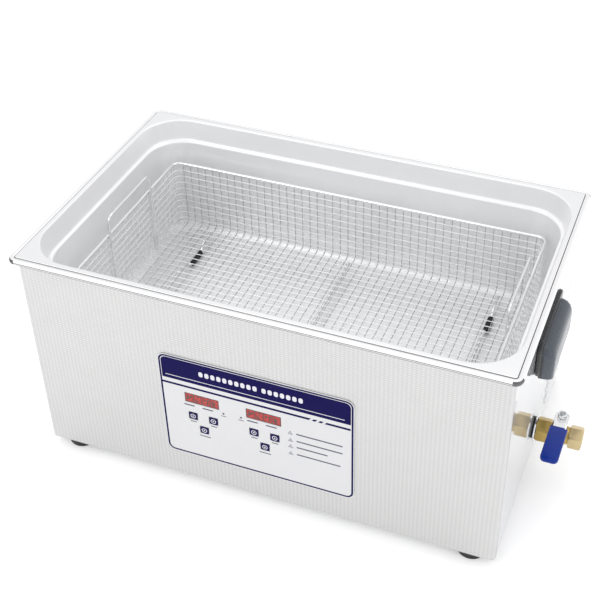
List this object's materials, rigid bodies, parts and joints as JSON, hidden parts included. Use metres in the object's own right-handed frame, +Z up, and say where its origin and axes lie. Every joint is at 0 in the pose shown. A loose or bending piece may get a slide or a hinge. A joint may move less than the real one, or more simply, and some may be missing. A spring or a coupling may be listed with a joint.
{
  "type": "ultrasonic cleaner",
  "caption": "Bench ultrasonic cleaning bath with a lift-out wire basket, drain valve, side handles and a key panel for heat and time.",
  "frame": {"origin": "on the standing surface, under the middle of the whole outline, from the left handle to the valve's mouth", "axes": "+Z up, -Y towards the user (control panel), +X towards the drain valve"},
  "size_m": [0.5868, 0.3256, 0.2646],
  "materials": {
    "satin_steel": "satin stainless, drawn",
    "embossed_steel": "stainless with a fine linen embossing",
    "mirror_steel": "mirror-polished stainless",
    "zinc_steel": "zinc-plated steel",
    "bright_wire": "electropolished stainless wire",
    "brass": "turned and lightly dulled",
    "aluminium": "turned",
    "black_rubber": "matt",
    "black_plastic": "glossy moulded",
    "blue_vinyl": "dipped vinyl",
    "label_film": "printed polyester film",
    "navy_key": "printed key top",
    "display_glass": "dark window",
    "circuit_board": "soldermask",
    "heater_rubber": "silicone heater mat"
  },
  "bodies": {
    "cleaner": {"tank": "satin_steel", "drain_elbow": "satin_steel", "front_panel": "embossed_steel", "rear_panel": "embossed_steel", "left_panel": "mirror_steel", "right_panel": "mirror_steel", "base_plate": "zinc_steel", "drain_washer": "zinc_steel", "valve_body": "brass", "valve_end": "brass", "transducer_1": "aluminium", "transducer_2": "aluminium", "transducer_3": "aluminium", "transducer_4": "aluminium", "transducer_5": "aluminium", "transducer_6": "aluminium", "transducer_7": "aluminium", "transducer_8": "aluminium", "temperature_sensor": "aluminium", "foot_front_left": "black_rubber", "foot_front_right": "black_rubber", "foot_rear_left": "black_rubber", "foot_rear_right": "black_rubber", "drain_gasket": "black_rubber", "side_handle_left": "black_plastic", "side_handle_right": "black_plastic", "fan_frame": "black_plastic", "power_inlet": "black_plastic", "switch_bezel": "black_plastic", "control_overlay": "label_film", "temperature_display": "display_glass", "timer_display": "display_glass", "control_board": "circuit_board", "driver_board": "circuit_board", "heater_front": "heater_rubber", "heater_rear": "heater_rubber"},
    "basket": {"basket_mesh": "bright_wire", "basket_rim": "bright_wire", "basket_handle_left": "bright_wire", "basket_handle_right": "bright_wire", "basket_runner_left": "bright_wire", "basket_runner_centre": "bright_wire", "basket_runner_right": "bright_wire", "basket_foot_front_left": "black_rubber", "basket_foot_rear_left": "black_rubber", "basket_foot_front_right": "black_rubber", "basket_foot_rear_right": "black_rubber"},
    "valve_handle": {"valve_ball": "bright_wire", "valve_stem": "brass", "valve_lever": "zinc_steel", "lever_sleeve": "blue_vinyl", "lever_nut": "zinc_steel"},
    "heat_lower_key": {"heat_lower_key": "navy_key"},
    "heat_raise_key": {"heat_raise_key": "navy_key"},
    "heat_switch_key": {"heat_switch_key": "navy_key"},
    "timer_lower_key": {"timer_lower_key": "navy_key"},
    "timer_raise_key": {"timer_raise_key": "navy_key"},
    "timer_switch_key": {"timer_switch_key": "navy_key"},
    "power_rocker": {"power_rocker": "black_plastic"},
    "fan_rotor": {"fan_rotor": "black_plastic"}
  },
  "joints": [
    {"name": "basket_lift", "type": "slide", "parent": "cleaner", "child": "basket", "axis": [0, 0, 1], "range_m": [0, 0.2]},
    {"name": "valve_turn", "type": "hinge", "parent": "cleaner", "child": "valve_handle", "pos_m": [0.2691, 0, 0.057], "axis": [0, 0, 1], "range_deg": [0, 90]},
    {"name": "heat_lower_press", "type": "slide", "parent": "cleaner", "child": "heat_lower_key", "axis": [0, 1, 0], "range_m": [0, 0.0006], "stiffness_N_per_m": 300},
    {"name": "heat_raise_press", "type": "slide", "parent": "cleaner", "child": "heat_raise_key", "axis": [0, 1, 0], "range_m": [0, 0.0006], "stiffness_N_per_m": 300},
    {"name": "heat_switch_press", "type": "slide", "parent": "cleaner", "child": "heat_switch_key", "axis": [0, 1, 0], "range_m": [0, 0.0006], "stiffness_N_per_m": 300},
    {"name": "timer_lower_press", "type": "slide", "parent": "cleaner", "child": "timer_lower_key", "axis": [0, 1, 0], "range_m": [0, 0.0006], "stiffness_N_per_m": 300},
    {"name": "timer_raise_press", "type": "slide", "parent": "cleaner", "child": "timer_raise_key", "axis": [0, 1, 0], "range_m": [0, 0.0006], "stiffness_N_per_m": 300},
    {"name": "timer_switch_press", "type": "slide", "parent": "cleaner", "child": "timer_switch_key", "axis": [0, 1, 0], "range_m": [0, 0.0006], "stiffness_N_per_m": 300},
    {"name": "power_rock", "type": "hinge", "parent": "cleaner", "child": "power_rocker", "pos_m": [-0.1576, 0.1555, 0.062], "axis": [1, 0, 0], "range_deg": [0, 20]},
    {"name": "fan_spin", "type": "hinge", "parent": "cleaner", "child": "fan_rotor", "pos_m": [0.0784, 0.14, 0.0577], "axis": [0, 1, 0], "continuous": true}
  ]
}
